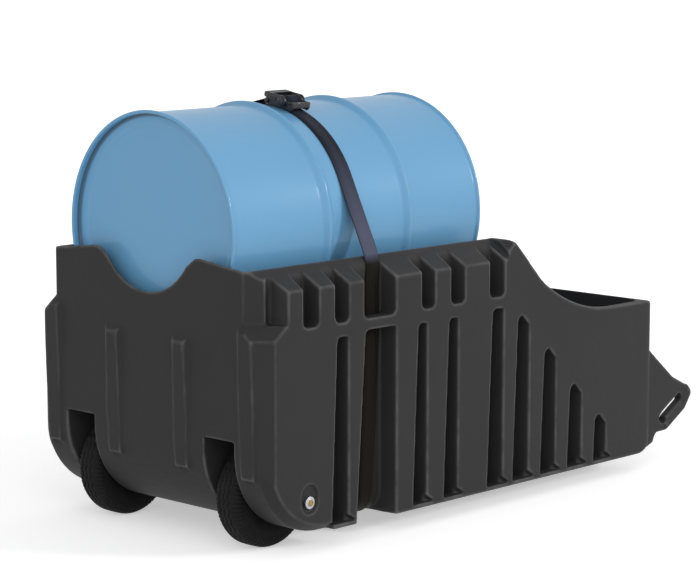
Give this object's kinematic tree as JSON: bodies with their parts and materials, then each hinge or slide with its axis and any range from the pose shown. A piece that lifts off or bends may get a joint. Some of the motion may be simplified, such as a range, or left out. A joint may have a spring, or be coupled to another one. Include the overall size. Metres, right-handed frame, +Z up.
{
  "type": "drum trolley",
  "caption": "Moulded drum trolley with a spill tub on air-filled wheels, nose trough and hand grips, carrying a lying steel drum held by a ratchet strap.",
  "frame": {"origin": "on the floor under the middle of the whole length, on the trolley's middle plane", "axes": "+X from the wheels to the nose and its hand grips, +Z up, so that the strap's ratchet leans towards -Y"},
  "size_m": [1.6959, 0.828, 1.0753],
  "materials": {
    "tub_plastic": "satin, slightly grained moulded polyethylene",
    "zinc_steel": "bright zinc",
    "webbing": "woven",
    "buckle_black": "satin black",
    "drum_paint": "gloss light blue",
    "gasket_rubber": "matt",
    "tyre_rubber": "matt",
    "tube_rubber": "matt",
    "rim_paint": "satin",
    "sleeve_plastic": "matt"
  },
  "bodies": {
    "tub": {"body": "tub_plastic", "axle": "zinc_steel", "axle_caps": "zinc_steel", "axle_washers": "zinc_steel", "axle_spacers": "zinc_steel", "strap": "webbing", "ratchet_frame": "buckle_black", "ratchet_spool": "zinc_steel", "ratchet_wheels": "zinc_steel", "spool_clips": "zinc_steel", "lock_spring": "zinc_steel", "strap_bolt": "zinc_steel", "drum_shell": "drum_paint", "drum_rear_head": "drum_paint", "drum_front_head": "drum_paint", "bung_flanges": "zinc_steel", "bung_large": "zinc_steel", "bung_small": "zinc_steel", "bung_gaskets": "gasket_rubber"},
    "wheel_near": {"tyre_near": "tyre_rubber", "tube_near": "tube_rubber", "rim_outer_near": "rim_paint", "rim_inner_near": "rim_paint", "hub_near": "zinc_steel", "bearings_near": "zinc_steel", "rim_bolts_near": "zinc_steel", "valve_near": "tube_rubber"},
    "wheel_far": {"tyre_far": "tyre_rubber", "tube_far": "tube_rubber", "rim_outer_far": "rim_paint", "rim_inner_far": "rim_paint", "hub_far": "zinc_steel", "bearings_far": "zinc_steel", "rim_bolts_far": "zinc_steel", "valve_far": "tube_rubber"},
    "handle": {"ratchet_handle": "buckle_black", "handle_sleeve": "sleeve_plastic", "drive_spring": "zinc_steel"},
    "drive_pawl": {"drive_pawl": "zinc_steel"},
    "lock_pawl": {"lock_pawl": "zinc_steel"}
  },
  "joints": [
    {"name": "wheel_near_spin", "type": "hinge", "parent": "tub", "child": "wheel_near", "pos_m": [-0.69, -0.25, 0.13], "axis": [0, 1, 0], "continuous": true},
    {"name": "wheel_far_spin", "type": "hinge", "parent": "tub", "child": "wheel_far", "pos_m": [-0.69, 0.25, 0.13], "axis": [0, 1, 0], "continuous": true},
    {"name": "ratchet_swing", "type": "hinge", "parent": "tub", "child": "handle", "pos_m": [-0.416, -0.07473, 1.05107], "axis": [1, 0, 0], "range_deg": [0, 150]},
    {"name": "drive_pawl_slide", "type": "slide", "parent": "handle", "child": "drive_pawl", "axis": [0, 0.9799, 0.1994], "range_m": [0, 0.0032], "stiffness_N_per_m": 400, "springref_m": -0.003, "deforming": ["drive_spring"]},
    {"name": "lock_pawl_slide", "type": "slide", "parent": "tub", "child": "lock_pawl", "axis": [0, -0.9799, -0.1994], "range_m": [0, 0.0032], "stiffness_N_per_m": 400, "springref_m": -0.003, "deforming": ["lock_spring"]}
  ]
}
